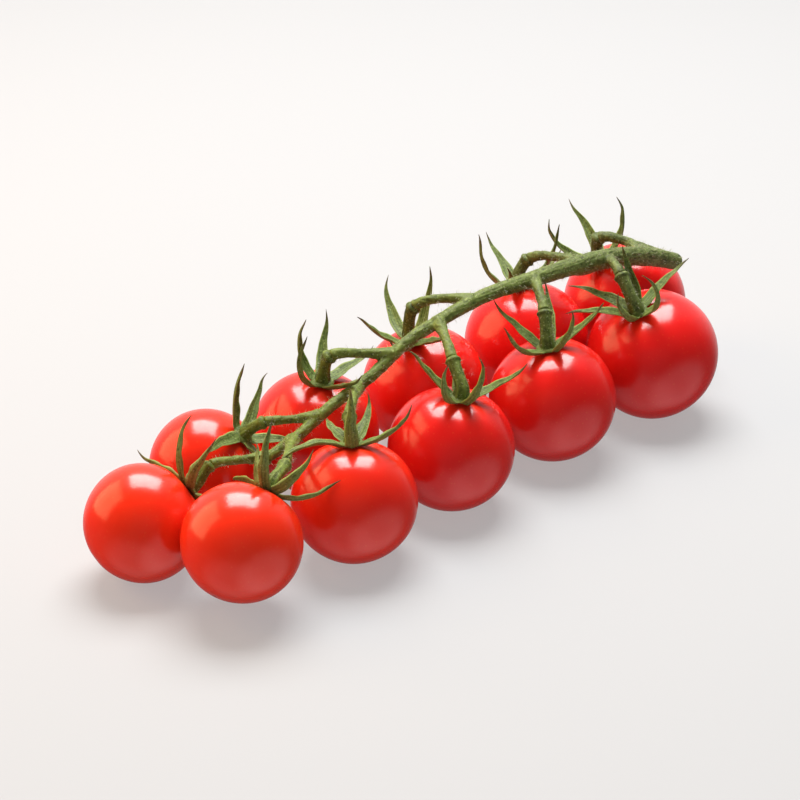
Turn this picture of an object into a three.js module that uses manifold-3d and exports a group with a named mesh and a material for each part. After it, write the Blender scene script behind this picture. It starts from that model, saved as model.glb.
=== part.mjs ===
// A picked truss of eleven cherry tomatoes, lying on a flat surface.
//
// The truss stem arches over the fruit from its cut end (+X) down to its tip (-X), and carries a short arm
// to each fruit, in turn to the front (-Y) and to the back (+Y). An arm ends at the knuckle, the joint
// where a ripe fruit snaps off. Below the knuckle a stalk runs to the calyx, the green star of sepals,
// which sits on the fruit.
//
// Millimetres and degrees, +Z up. The exported group stands on z = 0, with its origin in the middle of its
// base.

import * as THREE from "three";
import { mergeVertices } from "three/addons/utils/BufferGeometryUtils.js";
import Module from "manifold-3d";

const wasm = await Module();
wasm.setup();

// --------------------------------------------------------------------------------------------------------
// Driving dimensions
// --------------------------------------------------------------------------------------------------------

const GAP = 0.3; // clearance between a fruit, its calyx and its stalk
const KNUCKLE_GAP = 0.5; // and between a stalk and its arm

// One entry for each fruit, from the tip of the truss to its cut end.
//   at       where the fruit's centre stands on the floor plan
//   size     its diameter
//   axis     the way its stem end points: [lean from upright, bearing from +X]
//   lift     how far the stem holds it off the floor
//   leaves   where its arm leaves the stem, as a distance along X
//   knuckle  the centre of its knuckle
//   bow      how far its arm arches above a straight line
//   webs     where the skin fills the corner between its arm and the stem, if it does
//   sepals   for each sepal: [turn about the axis, length, rise at the root, curl up along it, sideways sweep]
const FRUIT = [
  {
    name: "01",
    at: [-80.6, 7.6],
    size: 28.3,
    axis: [63, -15],
    lift: 0,
    leaves: -48,
    knuckle: [-63, 3.6, 24.6],
    bow: 0.3,
    sepals: [
      [-12, 13, 16, 36, -6],
      [69, 16, -5, -19, 7],
      [130, 15, 16, 48, 2],
      [188, 17, 8, 56, -4],
      [272, 13, 20, 38, 0],
    ],
  },
  {
    name: "02",
    at: [-73.4, -19.7],
    size: 28.4,
    axis: [46, 10],
    lift: 3,
    leaves: -41,
    knuckle: [-54.6, -13.4, 28],
    bow: 0.5,
    sepals: [
      [-24, 15, 14, 55, 4],
      [80, 17, 16, -25, -6],
      [136, 9, 58, 16, -6],
      [206, 18, 16, 58, 0],
      [262, 14, 26, 50, -12],
    ],
  },
  {
    name: "03",
    at: [-51.4, 19.6],
    size: 28.4,
    axis: [44, -58],
    lift: 0,
    leaves: -32,
    knuckle: [-43.5, 6.8, 28.1],
    bow: 0,
    sepals: [
      [34, 17, 10, 18, 22],
      [100, 15, 34, 34, 2],
      [182, 17, 0, 8, 20],
      [254, 8, 22, 0, -10],
      [328, 13, 30, 4, -4],
    ],
  },
  {
    name: "04",
    at: [-38.1, -19],
    size: 30.3,
    axis: [9, 60],
    lift: 0,
    leaves: -20,
    knuckle: [-33.5, -12.4, 33.5],
    bow: 0.5,
    sepals: [
      [24, 14, 15, 27, 15],
      [84, 12, 17, -14, -26],
      [160, 17, 24, -60, 8],
      [229, 18, 60, 10, 8],
      [304, 15, 16, 40, -4],
    ],
  },
  {
    name: "05",
    at: [-21.6, 13.5],
    size: 31.6,
    axis: [10, -85],
    lift: 0,
    leaves: -8,
    knuckle: [-21.6, 7.4, 38.5],
    bow: 0.6,
    sepals: [
      [2, 15, 12, -5, 4],
      [52, 17, 16, 40, -12],
      [112, 15, 38, 72, 0],
      [180, 17, 24, 100, -8],
      [258, 16, 32, 10, 6],
    ],
  },
  {
    name: "06",
    at: [-3, -15.6],
    size: 31.3,
    axis: [10, -75],
    lift: 0,
    leaves: 6.8,
    knuckle: [-0.4, -13.1, 37.8],
    bow: 1,
    sepals: [
      [54, 17, 24, -11, 12],
      [123, 14, 32, 20, 8],
      [192, 16, 18, 90, 0],
      [255, 16, 40, 72, 0],
      [330, 15, 27, 18, -4],
    ],
  },
  {
    name: "07",
    at: [16, 13.8],
    size: 31.9,
    axis: [18, 178],
    lift: 0,
    leaves: 19.5,
    knuckle: [10.3, 11.7, 40.5],
    bow: 1.5,
    sepals: [
      [4, 17, 34, 38, 2],
      [76, 18, 14, 24, -38],
      [150, 14, 42, 30, 4],
      [214, 16, 26, 34, 0],
      [272, 16, 24, 12, -16],
    ],
  },
  {
    name: "08",
    at: [34.4, -13.9],
    size: 32.3,
    axis: [8, 175],
    lift: 0,
    leaves: 40.5,
    knuckle: [33.9, -10.7, 39.2],
    bow: 1,
    sepals: [
      [36, 16, 28, 12, 18],
      [107, 15, 34, 14, 2],
      [185, 17, 16, 62, -2],
      [272, 16, 42, 34, -8],
      [333, 15, 22, 24, -4],
    ],
  },
  {
    name: "09",
    at: [54.2, 15],
    size: 32.7,
    axis: [10, 110],
    lift: 0,
    leaves: 59,
    knuckle: [55.9, 16.4, 38.7],
    bow: 1.3,
    sepals: [
      [-2, 14, 8, 20, -10],
      [65, 17, 26, 20, 15],
      [146, 17, 36, 75, 0],
      [220, 15, 24, 36, 0],
      [312, 18, 34, 46, 6],
    ],
  },
  {
    name: "10",
    at: [71.3, -14.4],
    size: 34.3,
    axis: [26, -178],
    lift: 0,
    leaves: 67.6,
    knuckle: [63.5, -9.3, 40],
    bow: 1,
    sepals: [
      [-6, 16, 14, -14, 0],
      [40, 16, 35, 56, 13],
      [94, 17, 17, -6, 14],
      [146, 16, 40, -14, 8],
      [209, 16, 37, 64, -2],
      [281, 17, 26, 92, 0],
    ],
  },
  {
    name: "11",
    at: [91.3, 14],
    size: 33.2,
    axis: [30, 163],
    lift: 0,
    leaves: 90.5,
    knuckle: [81.8, 15.3, 37.8],
    bow: 1.3,
    webs: [
      [82.5, 0.55],
      [86.5, 0.36],
    ],
    sepals: [
      [44, 18, 22, 26, 28],
      [115, 18, 32, 76, 2],
      [186, 16, 26, 38, 0],
      [258, 16, 26, 38, 0],
      [330, 17, 27, 55, 2],
    ],
  },
];

// The fruit's outline: nearly round, flattened a little where the calyx sits.
const BODY = { squat: 0.98, dimple: 0.08, dimpleAngle: 24, settle: 0.15, sides: 20, rings: 12 };

// The calyx: a small disc with the sepals growing out of its rim.
const HUB = { radius: 2.6, height: 1.1 };
// A sepal's outline: how far along it, and there its width, its channel's depth and its thickness.
const SEPAL = [
  { along: 0, width: 3.1, channel: 0.15, thick: 0.9 },
  { along: 0.14, width: 3.3, channel: 0.45, thick: 0.7 },
  { along: 0.32, width: 3.0, channel: 0.6, thick: 0.6 },
  { along: 0.52, width: 2.3, channel: 0.5, thick: 0.55 },
  { along: 0.72, width: 1.5, channel: 0.3, thick: 0.5 },
  { along: 0.88, width: 0.8, channel: 0.15, thick: 0.4 },
];
const SEPAL_STEPS = 24; // short steps that its bent centre line is worked out in

// The stem's centre line, from its tip to its cut end, and its radius along that line.
const STEM_LINE = [
  [-48, 0.3, 22.6],
  [-40, -0.4, 25.2],
  [-28, 0.4, 29.4],
  [-15, -0.4, 33.8],
  [-3, 0.4, 38.6],
  [9, -0.4, 41.6],
  [24, 0.4, 42.9],
  [39, -0.3, 42.8],
  [58, 0.3, 41.4],
  [71, -0.2, 39.8],
  [85, 0.2, 35.8],
  [95.7, 0, 31.4],
];
const STEM_RADIUS = [1.3, 1.35, 1.45, 1.5, 1.6, 1.75, 1.9, 2.1, 2.45, 2.65, 2.55, 2.25];
const STEM = { steps: 26, sides: 12 };

// An arm, and the stalk below its knuckle: the radius at even distances along each, for a fruit of this
// diameter.
const ARM = { radii: [2.3, 1.7, 1.25, 1.2, 1.3, 1.55], sides: 8, fruitSize: 32, webRadius: 1.5 };
const STALK = { radii: [1.8, 1.55, 1.5, 1.55, 1.7, 2.1], sides: 8, upright: 1.5 };

const UP = new THREE.Vector3(0, 0, 1);
const LATHE_AXIS = new THREE.Vector3(0, 1, 0);

// --------------------------------------------------------------------------------------------------------
// Small helpers
// --------------------------------------------------------------------------------------------------------

const rad = THREE.MathUtils.degToRad;
const vec = (point) => new THREE.Vector3(...point);

// The value at a share, 0 to 1, of the way through a list of evenly spaced values.
function valueAt(values, share) {
  const place = THREE.MathUtils.clamp(share, 0, 1) * (values.length - 1);
  const i = Math.min(Math.floor(place), values.length - 2);
  return THREE.MathUtils.lerp(values[i], values[i + 1], place - i);
}

// A geometry from a list of corners and a list of triangles.
function geometryFrom(corners, triangles) {
  const geometry = new THREE.BufferGeometry();
  geometry.setAttribute("position", new THREE.Float32BufferAttribute(corners.flatMap((p) => p.toArray()), 3));
  geometry.setIndex(triangles.flat());
  geometry.computeVertexNormals();
  return geometry;
}

function solidFrom(geometry) {
  const bare = geometry.clone();
  bare.deleteAttribute("normal");
  bare.deleteAttribute("uv");
  const merged = mergeVertices(bare, 1e-3);
  return new wasm.Manifold(
    new wasm.Mesh({
      numProp: 3,
      vertProperties: merged.attributes.position.array,
      triVerts: new Uint32Array(merged.index.array),
    }),
  );
}

function geometryOf(solid) {
  const mesh = solid.getMesh();
  const geometry = new THREE.BufferGeometry();
  geometry.setAttribute("position", new THREE.BufferAttribute(mesh.vertProperties, 3));
  geometry.setIndex(new THREE.BufferAttribute(mesh.triVerts, 1));
  geometry.computeVertexNormals();
  return geometry;
}

// A closed, round tube along part of a curve. from and to are shares of its length, and radiusAt takes the
// share of the way between them.
function tubeAlong(curve, from, to, steps, sides, radiusAt) {
  const corners = [];
  const triangles = [];
  const side = new THREE.Vector3();
  for (let i = 0; i <= steps; i++) {
    const along = THREE.MathUtils.lerp(from, to, i / steps);
    const tangent = curve.getTangentAt(along);
    if (i === 0) side.crossVectors(tangent, Math.abs(tangent.z) > 0.9 ? LATHE_AXIS : UP);
    side.addScaledVector(tangent, -side.dot(tangent)).normalize();
    const across = new THREE.Vector3().crossVectors(tangent, side);
    for (let j = 0; j < sides; j++) {
      const turn = (2 * Math.PI * j) / sides;
      const spoke = side.clone().multiplyScalar(Math.cos(turn)).addScaledVector(across, Math.sin(turn));
      corners.push(curve.getPointAt(along).addScaledVector(spoke, radiusAt(i / steps)));
    }
  }
  for (let i = 0; i < steps; i++)
    for (let j = 0; j < sides; j++) {
      const a = i * sides + j;
      const b = i * sides + ((j + 1) % sides);
      triangles.push([a, b, b + sides], [a, b + sides, a + sides]);
    }
  const first = corners.push(curve.getPointAt(from)) - 1;
  const last = corners.push(curve.getPointAt(to)) - 1;
  const end = steps * sides;
  for (let j = 0; j < sides; j++) {
    const next = (j + 1) % sides;
    triangles.push([first, next, j], [last, end + j, end + next]);
  }
  return geometryFrom(corners, triangles);
}

// --------------------------------------------------------------------------------------------------------
// Materials
// --------------------------------------------------------------------------------------------------------

const MATERIALS = {
  skin: new THREE.MeshStandardMaterial({ color: 0xd02a17, roughness: 0.22, metalness: 0 }),
  stem: new THREE.MeshStandardMaterial({ color: 0x5f7f3c, roughness: 0.65, metalness: 0 }),
  stalk: new THREE.MeshStandardMaterial({ color: 0x67893c, roughness: 0.65, metalness: 0 }),
  leaf: new THREE.MeshStandardMaterial({ color: 0x58802f, roughness: 0.7, metalness: 0 }),
};

function named(name, geometry, material) {
  const mesh = new THREE.Mesh(geometry, material);
  mesh.name = name;
  return mesh;
}

// --------------------------------------------------------------------------------------------------------
// The fruit
// --------------------------------------------------------------------------------------------------------

function axisOf(fruit) {
  const [lean, bearing] = fruit.axis.map(rad);
  return new THREE.Vector3(Math.sin(lean) * Math.cos(bearing), Math.sin(lean) * Math.sin(bearing), Math.cos(lean));
}

// The outline's distance from the centre at an angle from the stem end.
function outline(fruit, angle) {
  const dimple = BODY.dimple * Math.exp(-((angle / rad(BODY.dimpleAngle)) ** 2));
  return (fruit.size / 2) * (1 - dimple);
}

const stemEndHeight = (fruit) => outline(fruit, 0) * BODY.squat;

// A turned body, stem end towards +Y.
function bodyGeometry(fruit) {
  const profile = [];
  for (let i = 0; i <= BODY.rings; i++) {
    const angle = Math.PI * (1 - i / BODY.rings);
    const distance = outline(fruit, angle);
    const atPole = i === 0 || i === BODY.rings;
    profile.push(new THREE.Vector2(atPole ? 0 : distance * Math.sin(angle), distance * Math.cos(angle) * BODY.squat));
  }
  return new THREE.LatheGeometry(profile, BODY.sides);
}

// The fruit in its place. A fruit that rests on the floor has a small flat patch there, where its weight
// is taken.
function tomato(fruit) {
  const mesh = named(`tomato_${fruit.name}`, bodyGeometry(fruit), MATERIALS.skin);
  mesh.quaternion.setFromUnitVectors(LATHE_AXIS, axisOf(fruit));
  mesh.position.set(...fruit.at, 0);
  mesh.updateMatrixWorld(true);
  const lowest = new THREE.Box3().setFromObject(mesh, true).min.z;
  mesh.position.z = fruit.lift > 0 ? fruit.lift - lowest : -lowest - BODY.settle;
  mesh.updateMatrixWorld(true);
  if (fruit.lift === 0) {
    const floor = new THREE.BoxGeometry(2 * fruit.size, 2 * fruit.size, fruit.size);
    floor.translate(...fruit.at, -fruit.size / 2);
    floor.applyMatrix4(mesh.matrixWorld.clone().invert());
    mesh.geometry = geometryOf(solidFrom(mesh.geometry).subtract(solidFrom(floor)));
  }
  return mesh;
}

// --------------------------------------------------------------------------------------------------------
// The calyx
// --------------------------------------------------------------------------------------------------------

// The rings of four corners (left edge, top, right edge, bottom) along one sepal, and its tip. The calyx
// stands on z = 0, with the fruit's axis along +Z.
function sepalRings([turn, length, rise, curl, sweep]) {
  const out = new THREE.Vector3(Math.cos(rad(turn)), Math.sin(rad(turn)), 0);
  const round = new THREE.Vector3().crossVectors(UP, out);
  const point = out.clone().multiplyScalar(HUB.radius).setZ(HUB.height * 0.6);
  const line = [];
  for (let i = 0; i <= SEPAL_STEPS; i++) {
    const share = i / SEPAL_STEPS;
    const climb = rad(rise + curl * share);
    const yaw = rad(sweep * share);
    const level = out.clone().multiplyScalar(Math.cos(yaw)).addScaledVector(round, Math.sin(yaw));
    const ahead = level.clone().multiplyScalar(Math.cos(climb)).addScaledVector(UP, Math.sin(climb));
    const side = new THREE.Vector3().crossVectors(UP, level);
    line.push({ point: point.clone(), side, top: new THREE.Vector3().crossVectors(ahead, side) });
    point.addScaledVector(ahead, length / SEPAL_STEPS);
  }
  const rings = SEPAL.map(({ along, width, channel, thick }) => {
    const at = line[Math.round(along * SEPAL_STEPS)];
    const place = (across, over) => at.point.clone().addScaledVector(at.side, across).addScaledVector(at.top, over);
    const left = place(width / 2, channel / 2);
    const top = place(0, thick / 2 - channel / 2);
    const right = place(-width / 2, channel / 2);
    const foot = place(0, -thick / 2 - channel / 2);
    return [left, top, right, foot];
  });
  return { rings, tip: line.at(-1).point };
}

// One closed star: a hub, and the sepals out of its rim, in the order of their turns.
function calyxGeometry(fruit) {
  const corners = [new THREE.Vector3(0, 0, HUB.height), new THREE.Vector3(0, 0, 0.1)];
  const [hubTop, hubFoot] = [0, 1];
  const triangles = [];
  const roots = [];
  for (const sepal of fruit.sepals) {
    const { rings, tip } = sepalRings(sepal);
    const first = corners.length;
    rings.forEach((ring) => corners.push(...ring));
    const last = corners.push(tip) - 1;
    for (let i = 0; i < rings.length; i++)
      for (let j = 0; j < 4; j++) {
        const a = first + 4 * i + j;
        const b = first + 4 * i + ((j + 1) % 4);
        if (i < rings.length - 1) triangles.push([a, b, b + 4], [a, b + 4, a + 4]);
        else triangles.push([a, b, last]);
      }
    const [left, top, right, foot] = [first, first + 1, first + 2, first + 3];
    triangles.push([hubTop, right, top], [hubTop, top, left], [hubFoot, foot, right], [hubFoot, left, foot]);
    roots.push({ left, right });
  }
  roots.forEach(({ left }, i) => {
    const { right } = roots[(i + 1) % roots.length];
    triangles.push([hubTop, left, right], [hubFoot, right, left]);
  });
  return geometryFrom(corners, triangles);
}

// The calyx's own frame: the axis along +Z, and turn 0 towards the cut end of the truss.
function calyxFrame(axis) {
  const towardsCutEnd = new THREE.Vector3(1, 0, 0).addScaledVector(axis, -axis.x).normalize();
  const across = new THREE.Vector3().crossVectors(axis, towardsCutEnd);
  return new THREE.Quaternion().setFromRotationMatrix(new THREE.Matrix4().makeBasis(towardsCutEnd, across, axis));
}

function calyx(fruit, fruitCentre) {
  const mesh = named(`calyx_${fruit.name}`, calyxGeometry(fruit), MATERIALS.leaf);
  const axis = axisOf(fruit);
  mesh.quaternion.copy(calyxFrame(axis));
  mesh.position.copy(fruitCentre).addScaledVector(axis, stemEndHeight(fruit) + GAP);
  return mesh;
}

// --------------------------------------------------------------------------------------------------------
// The stem, its arms and the stalks
// --------------------------------------------------------------------------------------------------------

const stemLine = new THREE.CatmullRomCurve3(STEM_LINE.map(vec));

// The point of the stem's centre line at a distance along X.
function onStem(x) {
  let [low, high] = [0, 1];
  while (high - low > 1e-4) {
    const middle = (low + high) / 2;
    if (stemLine.getPointAt(middle).x < x) low = middle;
    else high = middle;
  }
  return stemLine.getPointAt(low);
}

// The line from the stem through the knuckle to the top of the calyx, and how far along it the knuckle is.
function pedicelLine(fruit, fruitCentre) {
  const axis = axisOf(fruit);
  const start = onStem(fruit.leaves);
  const knuckle = vec(fruit.knuckle);
  const foot = fruitCentre.clone().addScaledVector(axis, stemEndHeight(fruit) + GAP + HUB.height + GAP);
  const bowed = start.clone().lerp(knuckle, 0.5).addScaledVector(UP, fruit.bow);
  const points = [start, bowed, knuckle, foot.clone().addScaledVector(axis, STALK.upright), foot];
  const line = new THREE.CatmullRomCurve3(points, false, "centripetal");
  const lengths = line.getLengths(200);
  return { line, knuckleAt: lengths[100] / lengths[200] };
}

function arm(fruit, { line, knuckleAt }) {
  const scale = fruit.size / ARM.fruitSize;
  const end = knuckleAt - KNUCKLE_GAP / 2 / line.getLength();
  return tubeAlong(line, 0, end, 7, ARM.sides, (share) => scale * valueAt(ARM.radii, share));
}

// The skin that fills the corner of a slanting arm: it spans from a distance along the stem to a share of
// the way along the arm.
function web([along, share], { line, knuckleAt }) {
  const span = new THREE.LineCurve3(onStem(along), line.getPointAt(share * knuckleAt));
  return tubeAlong(span, 0, 1, 2, ARM.sides, () => ARM.webRadius);
}

function stalk(fruit, { line, knuckleAt }) {
  const scale = fruit.size / ARM.fruitSize;
  const start = knuckleAt + KNUCKLE_GAP / 2 / line.getLength();
  const geometry = tubeAlong(line, start, 1, 6, STALK.sides, (share) => scale * valueAt(STALK.radii, share));
  return named(`stalk_${fruit.name}`, geometry, MATERIALS.stalk);
}

// The stem and its arms, grown as one piece.
function trussStem(pedicels) {
  const main = tubeAlong(stemLine, 0, 1, STEM.steps, STEM.sides, (share) => valueAt(STEM_RADIUS, share));
  const arms = FRUIT.map((fruit, i) => solidFrom(arm(fruit, pedicels[i])));
  const webs = FRUIT.flatMap((fruit, i) => (fruit.webs ?? []).map((each) => solidFrom(web(each, pedicels[i]))));
  const solid = [...arms, ...webs].reduce((joined, each) => joined.add(each), solidFrom(main));
  return named("truss_stem", geometryOf(solid), MATERIALS.stem);
}

// --------------------------------------------------------------------------------------------------------
// The truss
// --------------------------------------------------------------------------------------------------------

const truss = new THREE.Group();
const tomatoes = FRUIT.map(tomato);
const centres = tomatoes.map((mesh) => mesh.position);
const pedicels = FRUIT.map((fruit, i) => pedicelLine(fruit, centres[i]));

truss.add(trussStem(pedicels));
FRUIT.forEach((fruit, i) => truss.add(tomatoes[i], calyx(fruit, centres[i]), stalk(fruit, pedicels[i])));

// Move the origin to the middle of the base.
truss.updateMatrixWorld(true);
const middle = new THREE.Box3().setFromObject(truss, true).getCenter(new THREE.Vector3());
truss.position.set(-middle.x, -middle.y, 0);

export default truss;
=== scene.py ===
# A picked truss of eleven ripe cherry tomatoes, lying on a pale floor.
#
# The fruit, the green stars of sepals, the arching stem and the short stalks are each finished here around
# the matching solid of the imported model: places, directions and sizes are read from that solid, in metres.

import math
from collections import namedtuple

import bmesh
import bpy
import numpy as np
from mathutils import Matrix, Vector, noise


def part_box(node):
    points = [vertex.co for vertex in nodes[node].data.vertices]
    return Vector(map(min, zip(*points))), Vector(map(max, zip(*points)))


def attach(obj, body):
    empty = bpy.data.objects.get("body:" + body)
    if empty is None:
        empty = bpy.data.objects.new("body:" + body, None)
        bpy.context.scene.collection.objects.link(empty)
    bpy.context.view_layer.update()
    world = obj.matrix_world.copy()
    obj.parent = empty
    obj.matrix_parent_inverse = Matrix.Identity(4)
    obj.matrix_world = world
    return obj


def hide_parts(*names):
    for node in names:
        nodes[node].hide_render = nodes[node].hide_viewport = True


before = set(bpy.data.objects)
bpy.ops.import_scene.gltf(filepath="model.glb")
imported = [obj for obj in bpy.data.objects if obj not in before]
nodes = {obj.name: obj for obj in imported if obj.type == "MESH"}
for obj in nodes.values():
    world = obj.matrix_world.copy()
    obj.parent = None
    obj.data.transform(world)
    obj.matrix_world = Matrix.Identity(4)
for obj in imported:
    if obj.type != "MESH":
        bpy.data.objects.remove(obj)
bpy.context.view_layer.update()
FRUITS = sorted(name[-2:] for name in nodes if name.startswith("tomato_"))

# --------------------------------------------------------------------------------------------------
# Shared work: points and meshes
#
# Small jobs that the pieces have in common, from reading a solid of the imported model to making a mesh.
# --------------------------------------------------------------------------------------------------


def merged(node):
    """A copy of a CAD solid with its loose triangles joined up."""
    joined = bmesh.new()
    joined.from_mesh(nodes[node].data)
    bmesh.ops.remove_doubles(joined, verts=joined.verts, dist=1e-6)
    joined.verts.ensure_lookup_table()
    return joined


def middle_of(node):
    low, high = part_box(node)
    return np.array((low + high) / 2)


def unit(vector):
    return vector / np.linalg.norm(vector)


def bell(value):
    """A smooth bump, 1 at zero and almost nothing beyond 2."""
    return np.exp(-(value**2))


def lumps(points, size, seed):
    """Smooth noise, about -1 to 1, with lumps of a size."""
    offset = Vector((seed * 7.31, seed * 3.17, seed * 5.53))
    return np.array([noise.noise(Vector(p) / size + offset) for p in points])


def distances_along(points):
    """How far along a line of points each one is."""
    return np.concatenate([[0], np.cumsum(np.linalg.norm(np.diff(points, axis=0), axis=1))])


def through(points, stations, wanted):
    """Points on a smooth curve through these points, which lie at stations along it."""
    points = np.asarray(points, float)
    slopes = np.gradient(points, stations, axis=0)
    place = np.clip(np.searchsorted(stations, wanted, side="right") - 1, 0, len(stations) - 2)
    span = (stations[place + 1] - stations[place])[:, None]
    t = (wanted - stations[place])[:, None] / span
    near = (1 + 2 * t) * (1 - t) ** 2 * points[place] + t * (1 - t) ** 2 * span * slopes[place]
    far = t * t * (3 - 2 * t) * points[place + 1] + t * t * (t - 1) * span * slopes[place + 1]
    return near + far


def around(start, count):
    """Each pair of neighbours round a ring of points, given the number of its first."""
    return [(start + j, start + (j + 1) % count) for j in range(count)]


def shown(name, data):
    """A new object in the scene."""
    piece = bpy.data.objects.new(name, data)
    bpy.context.scene.collection.objects.link(piece)
    return piece


def mesh_piece(name, points, faces):
    mesh = bpy.data.meshes.new(name)
    mesh.from_pydata([tuple(p) for p in points], [], [tuple(f) for f in faces])
    mesh.shade_smooth()
    return shown(name, mesh)


def mark(mesh, name, values):
    """Stores one number for each point of a mesh, for its material to read."""
    mesh.attributes.new(name, "FLOAT", "POINT").data.foreach_set("value", np.asarray(values, np.float32))


# --------------------------------------------------------------------------------------------------
# Shared work: materials
#
# A material is a tree of nodes. Each node is added with its settings and its inputs, and an input is
# either a value or another node's output. Colours are red, green, blue and a 1.
# --------------------------------------------------------------------------------------------------


def feed(tree, node, inputs):
    """Gives a node its inputs, by name or number."""
    for name, given in inputs.items():
        if isinstance(given, bpy.types.NodeSocket):
            tree.links.new(given, node.inputs[name])
        else:
            node.inputs[name].default_value = given


def add(tree, kind, inputs, **settings):
    """The outputs of a new node."""
    node = tree.nodes.new(kind)
    for name, value in settings.items():
        setattr(node, name, value)
    feed(tree, node, inputs)
    return node.outputs


def new_material(name):
    """A material, its tree and its main shader."""
    material = bpy.data.materials.new(name)
    material.use_nodes = True
    tree = material.node_tree
    return material, tree, tree.nodes["Principled BSDF"]


def group_of(name, kind, inputs, outputs):
    """An empty node group with its named inputs, as (name, kind, value), and outputs, as (name, kind)."""
    group = bpy.data.node_groups.new(name, kind)
    for label, socket_kind, value in inputs:
        socket = group.interface.new_socket(label, in_out="INPUT", socket_type=socket_kind)
        if value is not None:
            socket.default_value = value
    for label, socket_kind in outputs:
        group.interface.new_socket(label, in_out="OUTPUT", socket_type=socket_kind)
    return group, group.nodes.new("NodeGroupInput"), group.nodes.new("NodeGroupOutput")


def grey(level):
    return (level, level, level, 1)


def where(tree):
    """The place of each point in its object, in metres."""
    return add(tree, "ShaderNodeTexCoord", {})["Object"]


def stored(tree, name):
    """The number that mark stored under a name."""
    return add(tree, "ShaderNodeAttribute", {}, attribute_name=name)["Fac"]


def maths(tree, operation, *numbers, clamp=False):
    """The answer to a sum on numbers and outputs."""
    return add(tree, "ShaderNodeMath", dict(enumerate(numbers)), operation=operation, use_clamp=clamp)[0]


def rescaled(tree, value, low, high, from_low=0, from_high=1):
    """A value carried from one range into the range from low to high."""
    inputs = {"Value": value, "From Min": from_low, "From Max": from_high, "To Min": low, "To Max": high}
    return add(tree, "ShaderNodeMapRange", inputs)["Result"]


def blend(tree, share, first, second):
    """The first colour, giving way to the second as the share rises from 0 to 1."""
    inputs = {"Factor": share, "A": first, "B": second}
    return add(tree, "ShaderNodeMix", inputs, data_type="RGBA")["Result"]


def ramp(tree, value, *stops, easing="LINEAR"):
    """The colour at a value, between stops given as (value, colour)."""
    node = tree.nodes.new("ShaderNodeValToRGB")
    node.color_ramp.interpolation = easing
    elements = node.color_ramp.elements
    while len(elements) < len(stops):
        elements.new(0.5)
    for element, (position, colour) in zip(elements, stops):
        element.position = position
        element.color = colour
    feed(tree, node, {"Fac": value})
    return node.outputs["Color"]


def clouds(tree, scale, detail=2, roughness=0.5):
    """Smooth noise, 0 to 1."""
    inputs = {"Vector": where(tree), "Scale": scale, "Detail": detail, "Roughness": roughness}
    return add(tree, "ShaderNodeTexNoise", inputs)["Fac"]


def spots(tree, scale, size, core, share):
    """A mask of small round spots, which fade from the share at their core to nothing at their size."""
    distance = add(tree, "ShaderNodeTexVoronoi", {"Vector": where(tree), "Scale": scale})["Distance"]
    return rescaled(tree, distance, 0, share, size, core)


def relief(tree, height, strength, depth):
    """A normal that makes small bumps of a height's light and dark."""
    inputs = {"Height": height, "Strength": strength, "Distance": depth}
    return add(tree, "ShaderNodeBump", inputs)["Normal"]


# --------------------------------------------------------------------------------------------------
# The tomatoes
#
# Thin, tight, glossy skin over firm flesh. Each is nearly round, a little flatter from stem end to
# blossom end, and sinks to a shallow dimple with faint furrows where the calyx sits. The one flat spot
# is where it rests.
# --------------------------------------------------------------------------------------------------

# depths are shares of the fruit's radius
SQUAT = 0.98
DIMPLE = 0.08
DIMPLE_ANGLE = math.radians(24)
FURROWS = 5
FURROW = 0.002
FURROW_ANGLE = math.radians(26)
FURROW_PEAK = 0.9
SCAR = 0.014
SCAR_ANGLE = math.radians(5)
UNEVENNESS = 0.007
SWELLING_SIZE = 0.9
BALL_DIVISIONS = 6

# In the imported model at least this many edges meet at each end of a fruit, the patch that it rests on
# rises less than this above its lowest point, and the part nearer the stem end than this cosine is sunk.
POLE_EDGES = 18
REST_RISE = 0.0006
SUNK_COSINE = 0.6

PATCHINESS = 0.7
PATCH_SCALE = 70
FRECKLE_SCALE = 700
PORE_SCALE = 900
ORANGE_RED = (0.75, 0.026, 0.006, 1)
DEEP_RED = (0.62, 0.009, 0.008, 1)
CROWN_COLOUR = (0.75, 0.05, 0.008, 1)
CROWN_SHARE = 0.4
SCAR_BROWN = (0.09, 0.035, 0.012, 1)
FRECKLE_COLOUR = (0.75, 0.16, 0.04, 1)
FRECKLE_SHARE = 0.12

# How far each fruit is from orange red, 0, to deep red, 1. The tip of a truss ripens last.
RIPENESS = {
    "01": 0.1,
    "02": 0.0,
    "03": 0.35,
    "04": 0.45,
    "05": 0.6,
    "06": 0.75,
    "07": 0.8,
    "08": 0.8,
    "09": 0.95,
    "10": 0.9,
    "11": 1.0,
}

Place = namedtuple("Place", "centre radius across along axis")


def ball_through(points):
    """The centre of the ball that fits a cloud of points best, and the distance of the farthest point."""
    rows = np.column_stack([2 * points, np.ones(len(points))])
    centre = np.linalg.lstsq(rows, (points**2).sum(1), rcond=None)[0][:3]
    return centre, np.linalg.norm(points - centre, axis=1).max()


def fruit_place(number):
    """A fruit's centre, its radius, and three directions: two across it, and the one to its stem end."""
    solid = merged(f"tomato_{number}")
    points = np.array([v.co for v in solid.verts])
    poles = [np.array(v.co) for v in solid.verts if len(v.link_edges) >= POLE_EDGES]
    solid.free()
    stalk_middle = middle_of(f"stalk_{number}")
    pole = min(poles, key=lambda p: np.linalg.norm(p - stalk_middle))
    clear = points[points[:, 2] > points[:, 2].min() + REST_RISE]
    centre = ball_through(clear)[0]
    towards_pole = (clear - centre) @ unit(pole - centre) / np.linalg.norm(clear - centre, axis=1)
    centre, radius = ball_through(clear[towards_pole < SUNK_COSINE])
    axis = unit(pole - centre)
    across = unit(np.array([1.0, 0, 0]) - axis * axis[0])
    return Place(centre, radius, across, np.cross(axis, across), axis)


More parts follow.
